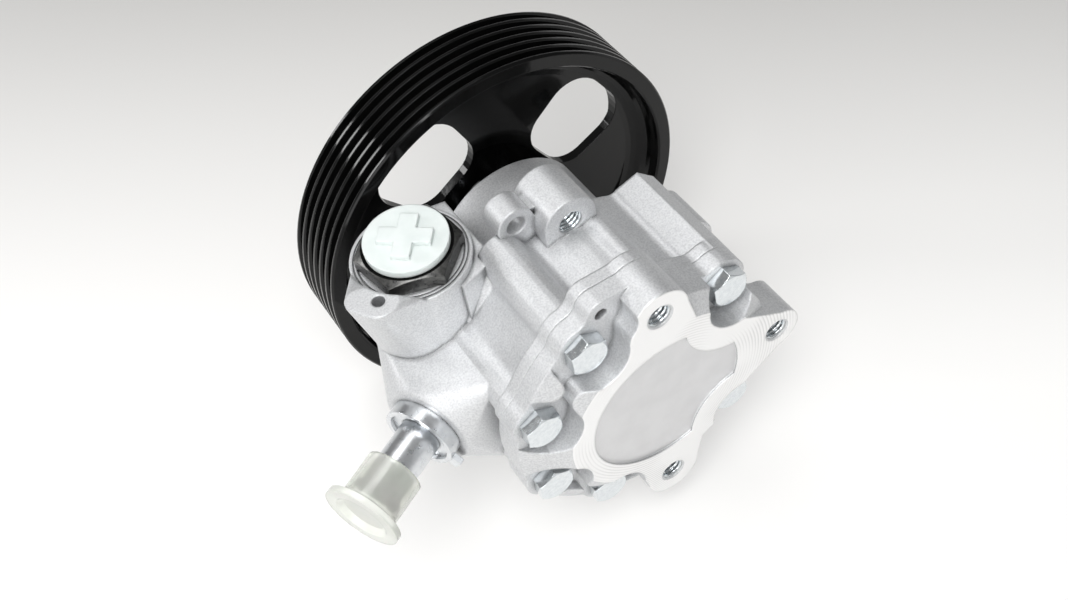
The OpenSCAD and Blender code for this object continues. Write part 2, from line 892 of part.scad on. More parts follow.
// Deep groove ball bearing
ball_path_r = (bearing_r + shaft_front_r) / 2;
ball_y = (bearing_y0 + bearing_y1) / 2;
race_gap = 0.55;
groove_r = ball_r + run_gap;
module race(r_in, r_out) {
    turned()
        difference() {
            translate([r_in, bearing_y0])
                square([r_out - r_in, bearing_w]);
            translate([ball_path_r, ball_y])
                circle(groove_r);
        }
}

module at_balls() {
    for (i = [0:ball_n - 1])
        rotate([0, i * 360 / ball_n, 0])
            translate([ball_path_r, ball_y, 0])
                children();
}

module bearing_outer() {
    color("silver")
        race(ball_path_r + ball_r * race_gap, bearing_r);
}

module bearing_inner() {
    color("silver")
        race(shaft_front_r, ball_path_r - ball_r * race_gap);
}

module bearing_balls() {
    color("gainsboro")
        at_balls()
            sphere(ball_r);
}

module bearing_cage() {
    cage_t = ball_r * race_gap;
    cage_w = ball_r * 1.3;
    color("goldenrod")
        difference() {
            ring(ball_path_r - cage_t / 2, ball_path_r + cage_t / 2, ball_y - cage_w / 2, ball_y + cage_w);
            at_balls()
                rotate([0, 90, 0])
                    cylinder(r = ball_r + free_gap, h = 4 * cage_t, center = true);
        }
}

clip_sink = 1.2;
clip_in = 3;
module bearing_clip() {
    clip_mouth = 10;
    color("dimgray")
        difference() {
            ring(bearing_r - clip_in, bearing_r + clip_sink - slip_gap, bearing_y1, clip_y1);
            translate([-clip_mouth / 2, bearing_y1 - over, -bearing_r - 2 * clip_sink])
                cube([clip_mouth, clip_t + 2 * over, bearing_r]);
        }
}

// Rim section with its belt grooves
groove_flank = 20;
groove_tip_w = 0.9;
function groove_points(i) = let(
    y = rim_start + rim_side + (i + 0.5) * groove_pitch,
    half_top = (groove_pitch - groove_tip_w) / 2,
    half_foot = half_top - groove_depth * tan(groove_flank)
) [
    [pulley_r, y - half_top],
    [pulley_r - groove_depth, y - half_foot],
    [pulley_r - groove_depth, y + half_foot],
    [pulley_r, y + half_top]
];
rim_in_r = pulley_r - rim_wall;
dish_w = 7;
dish_r = rim_in_r - dish_w;
edge = 0.5;
module pulley_profile() {
    hub_y0 = web_y - 2.5;
    groove_list = [for (i = [0:groove_n - 1]) each groove_points(i)];
    polygon(concat(
        [
            [shaft_front_r, hub_y0],
            [hub_r, hub_y0],
            [hub_r + 2, web_y]
        ],
        [for (t = [0:15:90]) [dish_r + (rim_in_r - dish_r) * sin(t), web_y - (web_y - rim_start - 2) * (1 - cos(t))]],
        [
            [rim_in_r, rim_start + edge],
            [rim_in_r + edge, rim_start],
            [pulley_r - edge, rim_start],
            [pulley_r, rim_start + edge]
        ],
        groove_list,
        [
            [pulley_r, rim_end - edge],
            [pulley_r - edge, rim_end],
            [rim_in_r, rim_end],
            [rim_in_r - 1, web_y + web_t + 4],
            [dish_r - 2, web_y + web_t],
            [hub_r + 2, web_y + web_t],
            [hub_r, web_y + web_t + 2],
            [hub_r, hub_front],
            [shaft_front_r, hub_front]
        ]
    ));
}

// Rounded window in the web, wider towards the rim
window_corner = 10;
window_in_corner = 9;
window_half = 4.3;
window_cut = 6;
window_turn = 31;
module web_window() {
    hull()
        for (s = [-1, 1]) {
            translate([window_in_r + window_in_corner, s * window_half])
                circle(window_in_corner, $fn = 32);
            translate([window_out_r - window_corner, s * window_half])
                circle(window_corner, $fn = 32);
        }
}

module pulley() {
    color("black")
        difference() {
            turned()
                pulley_profile();
            for (i = [0:window_n - 1])
                slab(web_y - window_cut, web_y + web_t + window_cut)
                    rotate(window_turn + i * 360 / window_n)
                        web_window();
        }
}

module outlet_union() {
    throat_r = 2.6;
    union_turn = 40;
    port_l = union_hex_h + 4;
    color("dimgray")
        on_outlet()
            difference() {
                union() {
                    translate([0, 0, union_hex_h])
                        mirror([0, 0, 1])
                            rotate(union_turn)
                                hex_head(union_af, union_hex_h, union_af * 0.97);
                    translate([0, 0, shank_z])
                        cylinder(r = union_shank_r, h = union_shank_l + over);
                }
                translate([0, 0, union_hex_h - port_l])
                    cylinder(r = port_r, h = port_l + over);
                translate([0, 0, shank_z - over])
                    cylinder(r = throat_r, h = union_shank_l + union_hex_h);
            }
}

union_cord = 1.15;
module union_seal() {
    color("dimgray")
        on_outlet()
            translate([0, 0, -union_cord - slip_gap])
                rotate_extrude()
                    translate([union_shank_r + union_cord + slip_gap, 0])
                        circle(union_cord);
}

// Push-in transit plug with a raised cross to grip it by
plug_stem_l = 8;
cross_l = 14.6;
cross_w = 5;
cross_h = 1.4;
module outlet_plug() {
    stem_wall = 1.2;
    color("whitesmoke")
        on_outlet()
            translate([0, 0, union_hex_h])
                difference() {
                    union() {
                        cylinder(r = plug_r, h = plug_t);
                        translate([0, 0, -plug_stem_l])
                            cylinder(r = port_r - slip_gap, h = plug_stem_l + over);
                        for (a = [0, 90])
                            rotate(a + 50)
                                translate([-cross_l / 2, -cross_w / 2, plug_t - over])
                                    cube([cross_l, cross_w, cross_h + over]);
                    }
                    translate([0, 0, -plug_stem_l - over])
                        cylinder(r = port_r - stem_wall, h = plug_stem_l);
                }
}

// Grooved flow valve that slides in its bore
module flow_valve() {
    land_r = valve_r - run_gap;
    waist_r = valve_r - 2.2;
    skirt_r = valve_r - valve_skirt_t;
    lands = [0, valve_l * 0.4, valve_l * 0.55, valve_l];
    color("silver")
        on_outlet()
            translate([0, 0, valve_z0])
                rotate_extrude()
                    polygon([
                        [skirt_r, lands[0]],
                        [land_r, lands[0]],
                        [land_r, lands[1]],
                        [waist_r, lands[1]],
                        [waist_r, lands[2]],
                        [land_r, lands[2]],
                        [land_r, lands[3] - 1],
                        [land_r - 1, lands[3]],
                        [0, lands[3]],
                        [0, spring_cup],
                        [skirt_r, spring_cup]
                    ]);
}

// Coil spring swept along a helix
spring_cup = 6;
spring_wire = 1.1;
valve_skirt_t = 2.5;
spring_play = 0.7;
spring_mid_r = valve_r - valve_skirt_t - spring_play - spring_wire / 2;
spring_turns = 5;
spring_sides = 8;
spring_steps = 16;
module valve_spring() {
    rings = spring_turns * spring_steps;
    low = valve_floor + spring_wire / 2;
    rise = spring_l + spring_cup - spring_wire;
    wire_points = [
        for (i = [0:rings], k = [0:spring_sides - 1])
            let(
                a = i * 360 / spring_steps,
                b = k * 360 / spring_sides,
                r = spring_mid_r + spring_wire / 2 * cos(b)
            ) [r * cos(a), r * sin(a), low + rise * i / rings + spring_wire / 2 * sin(b)]
    ];
    wall_faces = [
        for (i = [0:rings - 1], k = [0:spring_sides - 1])
            let(
                next = (k + 1) % spring_sides,
                base = i * spring_sides
            ) [base + k, base + spring_sides + k, base + spring_sides + next, base + next]
    ];
    end_faces = [
        [for (k = [0:spring_sides - 1]) k],
        [for (k = [spring_sides - 1:-1:0]) rings * spring_sides + k]
    ];
    color("silver")
        on_outlet()
            polyhedron(wire_points, concat(wall_faces, end_faces));
}

// Bead near the open end of the tube
bead_h = 0.9;
module inlet_tube() {
    tube_bore = tube_r - tube_wall;
    bead_z = tube_out - 4;
    color("silver")
        on_inlet()
            rotate_extrude()
                polygon([
                    [tube_bore, -tube_in],
                    [tube_r, -tube_in],
                    [tube_r, -tube_seat_t],
                    [tube_seat_r, -tube_seat_t],
                    [tube_seat_r, 0],
                    [tube_r, 0],
                    [tube_r, bead_z],
                    [tube_r + bead_h, bead_z + 1],
                    [tube_r + bead_h, bead_z + 2],
                    [tube_r, bead_z + 3],
                    [tube_r, tube_out],
                    [tube_bore, tube_out]
                ]);
}

tube_cord = 1;
module tube_seal() {
    color("dimgray")
        on_inlet()
            translate([0, 0, -tube_seat_t - tube_cord - slip_gap])
                rotate_extrude()
                    translate([tube_r + tube_cord + slip_gap, 0])
                        circle(tube_cord);
}

// Band that holds the tube in the boss, with a bent tongue
module tube_retainer() {
    tongue = [3.4, 4, 1.8];
    tongue_root = 0.6;
    tongue_turn = 235;
    color("silver")
        on_inlet() {
            difference() {
                cylinder(r = retainer_r, h = retainer_l);
                translate([0, 0, -over])
                    cylinder(r = tube_r + slip_gap, h = retainer_l + 2 * over);
                translate([0, 0, retainer_l - 1.2])
                    cylinder(r = retainer_r - 1.4, h = retainer_l);
            }
            rotate(tongue_turn)
                translate([retainer_r - tongue_root, -tongue[1] / 2, retainer_l - tongue[2] - boss_step])
                    cube(tongue);
        }
}

// Flanged transit cap over the end of the tube
module inlet_cap() {
    cap_end = tube_out + 1.4;
    cap_start = cap_end - cap_l;
    recess = 1.6;
    recess_in_r = 6.4;
    color("honeydew")
        on_inlet()
            difference() {
                union() {
                    translate([0, 0, cap_start])
                        cylinder(r = cap_r, h = cap_l);
                    translate([0, 0, cap_end])
                        cylinder(r1 = cap_r, r2 = cap_flange_r, h = 1.2);
                    translate([0, 0, cap_end + 1.2])
                        cylinder(r = cap_flange_r, h = cap_flange_t);
                }
                translate([0, 0, cap_start - over])
                    cylinder(r = tube_r + bead_h + slip_gap, h = tube_out - cap_start + over);
                translate([0, 0, cap_end + 1.2 + cap_flange_t - recess])
                    cylinder(r1 = recess_in_r, r2 = recess_in_r + recess, h = recess + over / 10);
            }
}

housing();
rear_cover();
cover_bolts();
cover_seal();
rear_bush();
rear_plate();
cam_ring();
rotor();
vanes();
front_plate();
plate_seal();
disc_spring();
dowels();
drive_shaft();
rotor_clip();
main_bush();
shaft_seal();
bearing_outer();
bearing_inner();
bearing_balls();
bearing_cage();
bearing_clip();
pulley();
outlet_union();
union_seal();
outlet_plug();
flow_valve();
valve_spring();
inlet_tube();
tube_seal();
tube_retainer();
inlet_cap();
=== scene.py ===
import math
import bmesh
import bpy
from mathutils import Matrix, Vector


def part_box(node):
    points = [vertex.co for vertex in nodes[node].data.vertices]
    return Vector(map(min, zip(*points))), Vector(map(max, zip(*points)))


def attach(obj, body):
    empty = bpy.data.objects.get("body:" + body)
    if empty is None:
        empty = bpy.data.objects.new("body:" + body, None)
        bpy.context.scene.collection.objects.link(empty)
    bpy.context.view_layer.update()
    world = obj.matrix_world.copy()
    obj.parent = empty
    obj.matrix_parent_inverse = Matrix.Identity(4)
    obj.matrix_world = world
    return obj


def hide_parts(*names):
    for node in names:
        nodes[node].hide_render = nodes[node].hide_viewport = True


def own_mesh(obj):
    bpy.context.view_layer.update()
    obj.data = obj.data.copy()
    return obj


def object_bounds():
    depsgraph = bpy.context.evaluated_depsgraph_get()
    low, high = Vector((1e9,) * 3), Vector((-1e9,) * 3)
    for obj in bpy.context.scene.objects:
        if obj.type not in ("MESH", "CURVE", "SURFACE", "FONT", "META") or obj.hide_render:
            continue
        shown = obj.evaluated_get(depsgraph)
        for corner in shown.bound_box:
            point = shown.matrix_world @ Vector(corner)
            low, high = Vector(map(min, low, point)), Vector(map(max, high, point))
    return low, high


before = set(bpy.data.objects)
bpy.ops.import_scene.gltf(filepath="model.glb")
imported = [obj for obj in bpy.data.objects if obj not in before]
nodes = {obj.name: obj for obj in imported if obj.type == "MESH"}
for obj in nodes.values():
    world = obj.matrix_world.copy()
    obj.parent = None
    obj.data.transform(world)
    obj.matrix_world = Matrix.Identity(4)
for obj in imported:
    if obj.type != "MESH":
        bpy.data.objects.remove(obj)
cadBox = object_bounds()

mm = 0.001
scene = bpy.context.scene
print("frame:", len(nodes), "nodes")


def hexColor(code):
    parts = [int(code[i:i + 2], 16) / 255 for i in (1, 3, 5)]
    return [c / 12.92 if c <= 0.04045 else ((c + 0.055) / 1.055) ** 2.4 for c in parts] + [1.0]


def feed(owner, node, inputs):  # links a socket, sets any other value
    for name, value in inputs.items():
        if isinstance(value, bpy.types.NodeSocket):
            owner.node_tree.links.new(value, node.inputs[name])
        else:
            node.inputs[name].default_value = value


def addNode(owner, kind, inputs=None, **settings):
    node = owner.node_tree.nodes.new(kind)
    for name, value in settings.items():
        setattr(node, name, value)
    feed(owner, node, inputs or {})
    return node


def setRamp(node, low, high):
    for stop, (position, code) in zip(node.color_ramp.elements, (low, high)):
        stop.position, stop.color = position, hexColor(code)


def newMaterial(name):
    material = bpy.data.materials.new(name)
    material.use_nodes = True
    return material, material.node_tree.nodes["Principled BSDF"]


def placeMesh(name, shell):  # the object stays at the origin, its place is in its mesh
    points = sorted(shell.verts, key=lambda v: tuple(v.co))
    faces = sorted(shell.faces, key=lambda f: tuple(f.calc_center_median()))
    for parts in (points, faces):  # a spin leaves both in another order each run
        for i, part in enumerate(parts):
            part.index = i
    shell.verts.sort()
    shell.faces.sort()
    mesh = bpy.data.meshes.new(name)
    shell.to_mesh(mesh)
    shell.free()
    piece = bpy.data.objects.new(name, mesh)
    scene.collection.objects.link(piece)
    return piece


# Camera, solved from the photo
camera = {
    "place": (-0.10410, -0.16340, 0.29770),
    "right": (0.83200, -0.54045, -0.12525),
    "up": (0.49579, 0.62304, 0.60499),
    "focalPixels": 1324.6,
    "frameWidth": 1068,
    "sensor": 36.0,
    "nearest": 0.01,
}
lens = bpy.data.cameras.new("camera")
lens.sensor_width = camera["sensor"]
lens.lens = camera["focalPixels"] / camera["frameWidth"] * camera["sensor"]
lens.clip_start = camera["nearest"]
right = Vector(camera["right"]).normalized()
up = Vector(camera["up"])
up = (up - right * up.dot(right)).normalized()
back = right.cross(up)
turn = Matrix((right, up, back)).transposed()
cameraObject = bpy.data.objects.new("camera", lens)
cameraObject.matrix_world = Matrix.Translation(camera["place"]) @ turn.to_4x4()
scene.collection.objects.link(cameraObject)
scene.camera = cameraObject
print("camera: lens", round(lens.lens, 2))


def shownRays(owner):  # 1 for what the camera sees, also in metal and through clear plastic
    ray = addNode(owner, "ShaderNodeLightPath")
    mirrored = addNode(owner, "ShaderNodeMath", {
        0: ray.outputs["Is Camera Ray"], 1: ray.outputs["Is Glossy Ray"],
    }, operation="MAXIMUM")
    shown = addNode(owner, "ShaderNodeMath", {
        0: mirrored.outputs[0], 1: ray.outputs["Is Transmission Ray"],
    }, operation="MAXIMUM")
    return shown.outputs[0]


# Room: brighter on the camera's lower left, as a light tent is, with a pale backdrop low down
room = {
    "bright": 0.38, "dim": 0.10, "side": -0.35, "rise": -0.45, "back": 0.80,
    "backdrop": "#E6E6E6", "backdropFade": (0.04, 0.20),
}
world = bpy.data.worlds.new("studio")
scene.world = world
world.use_nodes = True
brightSide = (right * room["side"] + up * room["rise"] + back * room["back"]).normalized()
way = addNode(world, "ShaderNodeTexCoord")
facing = addNode(world, "ShaderNodeVectorMath", {
    0: way.outputs["Generated"], 1: tuple(brightSide),
}, operation="DOT_PRODUCT")
roomLevel = addNode(world, "ShaderNodeMapRange", {
    "Value": facing.outputs["Value"], "From Min": -1.0, "From Max": 1.0,
    "To Min": room["dim"], "To Max": room["bright"],
})
roomLight = world.node_tree.nodes["Background"]
feed(world, roomLight, {"Color": (1.0, 1.0, 1.0, 1.0), "Strength": roomLevel.outputs[0]})
wallLight = addNode(world, "ShaderNodeBackground", {"Color": hexColor(room["backdrop"]), "Strength": 1.0})
height = addNode(world, "ShaderNodeSeparateXYZ", {0: way.outputs["Generated"]})
low = addNode(world, "ShaderNodeMapRange", {
    "Value": height.outputs["Z"], "From Min": room["backdropFade"][0], "From Max": room["backdropFade"][1],
    "To Min": 1.0, "To Max": 0.0,
})
wall = addNode(world, "ShaderNodeMath", {0: low.outputs[0], 1: shownRays(world)}, operation="MULTIPLY")
surround = addNode(world, "ShaderNodeMixShader", {
    0: wall.outputs[0], 1: roomLight.outputs["Background"], 2: wallLight.outputs["Background"],
})
feed(world, world.node_tree.nodes["World Output"], {"Surface": surround.outputs[0]})

# Softboxes, placed from the aim along the camera's right, up and back
aim = Vector((0.0, 0.045, 0.0))
softboxes = {
    "frontBox": {"side": -0.10, "rise": 0.12, "back": 0.75, "size": 0.42, "power": 4.3},
    "lowBox": {"side": -0.35, "rise": -0.45, "back": 0.65, "size": 0.50, "power": 1.9},
    "leftBox": {"side": -0.75, "rise": 0.30, "back": 0.10, "size": 0.18, "power": 1.2},
    "topBox": {"side": -0.20, "rise": 0.67, "back": 0.48, "size": 0.40, "power": 1.7},
}
for name, box in softboxes.items():
    lamp = bpy.data.lights.new(name, "AREA")
    lamp.shape = "SQUARE"
    lamp.size = box["size"]
    lamp.energy = box["power"]
    lampObject = bpy.data.objects.new(name, lamp)
    lampObject.location = aim + right * box["side"] + up * box["rise"] + back * box["back"]
    lampObject.rotation_mode = "QUATERNION"
    lampObject.rotation_quaternion = (aim - lampObject.location).to_track_quat("-Z", "Y")
    lampObject.visible_camera = False
    scene.collection.objects.link(lampObject)
print("light:", len(softboxes), "softboxes")

# Floor: pale paper without gloss, with painted light that makes its near part brighter; a little darker far
# off, where it runs into the backdrop
floorSheet = {
    "reach": 4.0, "gap": 0.2 * mm, "tone": "#C9C8C6", "roughness": 0.9, "shine": 0.1,
    "nearPaintedLight": 0.40, "farPaintedLight": 0.0, "fade": (0.0, 0.17), "backdropFade": (0.30, 0.80),
}
shell = bmesh.new()
bmesh.ops.create_grid(shell, x_segments=1, y_segments=1, size=floorSheet["reach"])
bmesh.ops.translate(shell, verts=shell.verts, vec=(0, 0, cadBox[0].z - floorSheet["gap"]))
floorObject = placeMesh("floor", shell)
paper, shader = newMaterial("mattePaperSweep")
spot = addNode(paper, "ShaderNodeTexCoord")
along = addNode(paper, "ShaderNodeVectorMath", {
    0: spot.outputs["Object"], 1: tuple(up),
}, operation="DOT_PRODUCT")
# painted light: the floor glows brighter towards the bottom of the view and fades to none further up
fade = addNode(paper, "ShaderNodeMapRange", {
    "Value": along.outputs["Value"], "From Min": floorSheet["fade"][0], "From Max": floorSheet["fade"][1],
    "To Min": floorSheet["nearPaintedLight"], "To Max": floorSheet["farPaintedLight"],
})
shown = shownRays(paper)
paintedLight = addNode(paper, "ShaderNodeMath", {0: fade.outputs[0], 1: shown}, operation="MULTIPLY")
feed(paper, shader, {
    "Base Color": hexColor(floorSheet["tone"]), "Roughness": floorSheet["roughness"],
    "Specular IOR Level": floorSheet["shine"],
    "Emission Color": (1.0, 1.0, 1.0, 1.0), "Emission Strength": paintedLight.outputs[0],
})
away = addNode(paper, "ShaderNodeVectorMath", {0: spot.outputs["Object"]}, operation="LENGTH")
far = addNode(paper, "ShaderNodeMapRange", {
    "Value": away.outputs["Value"],
    "From Min": floorSheet["backdropFade"][0], "From Max": floorSheet["backdropFade"][1],
}, interpolation_type="SMOOTHSTEP")
shownFar = addNode(paper, "ShaderNodeMath", {0: far.outputs[0], 1: shown}, operation="MULTIPLY")
backdrop = addNode(paper, "ShaderNodeEmission", {"Color": hexColor(room["backdrop"]), "Strength": 1.0})
sweep = addNode(paper, "ShaderNodeMixShader", {
    0: shownFar.outputs[0], 1: shader.outputs["BSDF"], 2: backdrop.outputs["Emission"],
})
feed(paper, paper.node_tree.nodes["Material Output"], {"Surface": sweep.outputs[0]})
floorObject.data.materials.append(paper)
print("floor: laid")

# Thread turns in the tapped holes: three in the cover and two in the front lugs
threads = {
    "pitch": 1.25 * mm, "crest": 0.36 * mm, "wall": 0.04 * mm, "steps": 48, "merge": 0.001 * mm,
    "rootEnd": 0.20, "crestStart": 0.55, "crestEnd": 0.65,  # shares of one pitch
}
tappedHoles = [
    {"x": 37 * mm, "z": 0.0, "radius": 3.4 * mm, "from": 0.6 * mm, "to": 11.4 * mm},
    {"x": 0.0, "z": 37 * mm, "radius": 3.4 * mm, "from": 0.6 * mm, "to": 11.4 * mm},
    {"x": 0.0, "z": -37 * mm, "radius": 3.4 * mm, "from": 0.6 * mm, "to": 11.4 * mm},
    {"x": 37 * mm, "z": 0.0, "radius": 3.65 * mm, "from": 40.0 * mm, "to": 54.4 * mm},
    {"x": 0.0, "z": 37 * mm, "radius": 3.65 * mm, "from": 40.0 * mm, "to": 54.4 * mm},
]
pitch = threads["pitch"]
shell = bmesh.new()
for hole in tappedHoles:
    outer = hole["radius"] - threads["wall"]
    inner = outer - threads["crest"]
    turns = int((hole["to"] - hole["from"]) / pitch)
    profile = [(outer, hole["from"])]
    for i in range(turns):
        start = hole["from"] + i * pitch
        profile.append((outer - threads["wall"], start + threads["rootEnd"] * pitch))
        profile.append((inner, start + threads["crestStart"] * pitch))
        profile.append((inner, start + threads["crestEnd"] * pitch))
    profile.append((outer, hole["from"] + turns * pitch))
    centre = Vector((hole["x"], 0.0, hole["z"]))
    ring = [shell.verts.new(centre + Vector((r, y, 0.0))) for r, y in profile]
    edges = [shell.edges.new((a, b)) for a, b in zip(ring, ring[1:] + ring[:1])]
    bmesh.ops.spin(
        shell, geom=ring + edges, cent=centre, axis=(0.0, 1.0, 0.0), angle=2 * math.pi,
        steps=threads["steps"], use_merge=True,
    )
bmesh.ops.remove_doubles(shell, verts=shell.verts, dist=threads["merge"])
bmesh.ops.recalc_face_normals(shell, faces=shell.faces)
tappedThreads = placeMesh("tappedThreads", shell)
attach(tappedThreads, "pump")
print("threads:", len(tappedHoles), "holes")

# Valve spring: a coil of wire under the valve, which slides down on it
coil = {"turns": 5, "steps": 24, "wire": 1.1 * mm, "sides": 12, "travel": 5 * mm}
coilLow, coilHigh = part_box("valve_spring")
foot = Vector(((coilLow.x + coilHigh.x) / 2, (coilLow.y + coilHigh.y) / 2, coilLow.z))
coilHeight = coilHigh.z - coilLow.z
coilRadius = (coilHigh.x - coilLow.x - coil["wire"]) / 2
coilSteps = coil["turns"] * coil["steps"]
shell = bmesh.new()
bmesh.ops.create_circle(shell, segments=coil["sides"], radius=coil["wire"] / 2)
bmesh.ops.rotate(shell, verts=shell.verts, cent=(0, 0, 0), matrix=Matrix.Rotation(math.pi / 2, 3, "X"))
bmesh.ops.translate(shell, verts=shell.verts, vec=foot + Vector((coilRadius, 0.0, coil["wire"] / 2)))
bmesh.ops.spin(
    shell, geom=shell.verts[:] + shell.edges[:], cent=foot, axis=(0.0, 0.0, 1.0),
    dvec=(0.0, 0.0, (coilHeight - coil["wire"]) / coilSteps), angle=2 * math.pi * coil["turns"],
    steps=coilSteps,
)
bmesh.ops.holes_fill(shell, edges=[e for e in shell.edges if e.is_boundary], sides=0)
bmesh.ops.recalc_face_normals(shell, faces=shell.faces)
valveCoil = placeMesh("valveCoil", shell)
valveCoil.data.shade_smooth()
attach(valveCoil, "pump")
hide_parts("valve_spring")
print("spring:", coil["turns"], "turns")

noiseLow, noiseHigh = 0.3, 0.7  # most values of a noise texture lie between these
edgeSamples = 6


def dress(name, material):
    mesh = nodes[name].data
    mesh.materials.clear()
    mesh.materials.append(material)


def paintNookShade(material, tone, finish):  # painted shade where surfaces meet, mixed in by ambient occlusion
    nook = addNode(material, "ShaderNodeAmbientOcclusion", {"Distance": finish["shade"]}, samples=4)
    unshadedShare = addNode(material, "ShaderNodeMapRange", {
        "Value": nook.outputs["AO"], "From Min": 0.25, "From Max": 0.75,
    })
    mixed = addNode(material, "ShaderNodeMix", {
        "Factor": unshadedShare.outputs[0], 6: hexColor(finish["paintedNookShade"]), 7: tone,
    }, data_type="RGBA")
    return mixed.outputs[2]


# Die-cast aluminium, shot blasted: soft silver with a fine even grain, worn-bright rounded edges and painted
# shade in its nooks
castFinish = {
    "dark": "#CACBCD", "light": "#DFE0E1", "metallic": 0.85, "roughness": (0.52, 0.60),
    "grain": 0.5 * mm, "mottle": 9 * mm, "edge": 0.9 * mm, "bump": 0.6, "depth": 0.10 * mm,
    # colour of the painted shade in the nooks, mixed in by ambient occlusion
    "paintedNookShade": "#525355", "shade": 3 * mm, "toneSpan": (0.34, 0.62),
}


def castAluminium(name):
    material, shader = newMaterial(name)
    spot = addNode(material, "ShaderNodeTexCoord")
    grain = addNode(material, "ShaderNodeTexNoise", {
        "Vector": spot.outputs["Object"], "Scale": 1 / castFinish["grain"], "Detail": 3.0, "Roughness": 0.6,
    })
    mottle = addNode(material, "ShaderNodeTexNoise", {
        "Vector": spot.outputs["Object"], "Scale": 1 / castFinish["mottle"], "Detail": 4.0,
    })
    tone = addNode(material, "ShaderNodeValToRGB", {0: grain.outputs["Fac"]})
    darkStop, lightStop = castFinish["toneSpan"]
    setRamp(tone, (darkStop, castFinish["dark"]), (lightStop, castFinish["light"]))
    rough = addNode(material, "ShaderNodeMapRange", {
        "Value": mottle.outputs["Fac"], "From Min": noiseLow, "From Max": noiseHigh,
        "To Min": castFinish["roughness"][0], "To Max": castFinish["roughness"][1],
    })
    edge = addNode(material, "ShaderNodeBevel", {"Radius": castFinish["edge"]}, samples=edgeSamples)
    bump = addNode(material, "ShaderNodeBump", {
        "Strength": castFinish["bump"], "Distance": castFinish["depth"],
        "Height": grain.outputs["Fac"], "Normal": edge.outputs[0],
    })
    skin = {
        "Base Color": paintNookShade(material, tone.outputs[0], castFinish),
        "Roughness": rough.outputs[0], "Normal": bump.outputs[0],
    }
    feed(material, shader, {**skin, "Metallic": castFinish["metallic"]})
    return material, shader, skin, spot.outputs["Object"]


dress("housing", castAluminium("castAluminiumBlasted")[0])

# The cover is the same casting, with its mounting face milled bright and a matte round recess in it
coverFinish = {
    "milled": "#F4F4F4", "mark": "#DEDEDE", "milledRoughness": 0.38, "faceDepth": 0.15 * mm,
    "markPitch": 1.0 * mm, "markDepth": 0.012 * mm, "markPatch": 22 * mm,  # pitch drawn coarse so that it shows
    "recess": "#DCDCDD", "recessCloud": "#D7D7D8", "cloudSize": 7 * mm, "recessRoughness": 0.50,
    "recessRadius": 24.2 * mm, "recessDepth": 0.8 * mm, "recessSlack": 0.3 * mm,
}
waveRing = 2 * math.pi / 20  # width of one ring of the wave texture at scale 1
coverMetal, shader, skin, place = castAluminium("castAluminiumMilledFace")
split = addNode(coverMetal, "ShaderNodeSeparateXYZ", {0: place})
onFace = addNode(coverMetal, "ShaderNodeMath", {
    0: split.outputs["Y"], 1: coverFinish["faceDepth"],
}, operation="LESS_THAN")
flat = addNode(coverMetal, "ShaderNodeVectorMath", {0: place, 1: (1.0, 0.0, 1.0)}, operation="MULTIPLY")
radius = addNode(coverMetal, "ShaderNodeVectorMath", {0: flat.outputs[0]}, operation="LENGTH")
inside = addNode(coverMetal, "ShaderNodeMath", {
    0: radius.outputs["Value"], 1: coverFinish["recessRadius"],
}, operation="LESS_THAN")
level = addNode(coverMetal, "ShaderNodeMath", {
    0: split.outputs["Y"], 1: coverFinish["recessDepth"], 2: coverFinish["recessSlack"],
}, operation="COMPARE")
inRecess = addNode(coverMetal, "ShaderNodeMath", {
    0: inside.outputs[0], 1: level.outputs[0],
}, operation="MULTIPLY")
marks = addNode(coverMetal, "ShaderNodeTexWave", {
    "Vector": place, "Scale": waveRing / coverFinish["markPitch"], "Distortion": 0.4, "Detail": 1.0,
}, wave_type="RINGS", rings_direction="Y")
patch = addNode(coverMetal, "ShaderNodeTexNoise", {
    "Vector": place, "Scale": 1 / coverFinish["markPatch"], "Detail": 1.0,
})
strength = addNode(coverMetal, "ShaderNodeMapRange", {
    "Value": patch.outputs["Fac"], "From Min": 0.4, "From Max": 0.65,
})
faded = addNode(coverMetal, "ShaderNodeMath", {
    0: marks.outputs["Fac"], 1: strength.outputs[0],
}, operation="MULTIPLY")
markTone = addNode(coverMetal, "ShaderNodeValToRGB", {0: faded.outputs[0]})
setRamp(markTone, (0.3, coverFinish["milled"]), (1.0, coverFinish["mark"]))
cloud = addNode(coverMetal, "ShaderNodeTexNoise", {
    "Vector": place, "Scale": 1 / coverFinish["cloudSize"], "Detail": 5.0,
})
cloudTone = addNode(coverMetal, "ShaderNodeValToRGB", {0: cloud.outputs["Fac"]})
setRamp(cloudTone, (0.35, coverFinish["recessCloud"]), (0.65, coverFinish["recess"]))
recessTone = addNode(coverMetal, "ShaderNodeMix", {
    "Factor": inRecess.outputs[0], 6: skin["Base Color"], 7: cloudTone.outputs[0],
}, data_type="RGBA")
faceTone = addNode(coverMetal, "ShaderNodeMix", {
    "Factor": onFace.outputs[0], 6: recessTone.outputs[2], 7: markTone.outputs[0],
}, data_type="RGBA")
recessRough = addNode(coverMetal, "ShaderNodeMix", {
    "Factor": inRecess.outputs[0], 2: skin["Roughness"], 3: coverFinish["recessRoughness"],
})
faceRough = addNode(coverMetal, "ShaderNodeMix", {
    "Factor": onFace.outputs[0], 2: recessRough.outputs[0], 3: coverFinish["milledRoughness"],
})
markBump = addNode(coverMetal, "ShaderNodeBump", {
    "Strength": onFace.outputs[0], "Distance": coverFinish["markDepth"],
    "Height": faded.outputs[0], "Normal": skin["Normal"],
})
feed(coverMetal, shader, {
    "Base Color": faceTone.outputs[2], "Roughness": faceRough.outputs[0], "Normal": markBump.outputs[0],
})
dress("rear_cover", coverMetal)
print("castings: dressed")

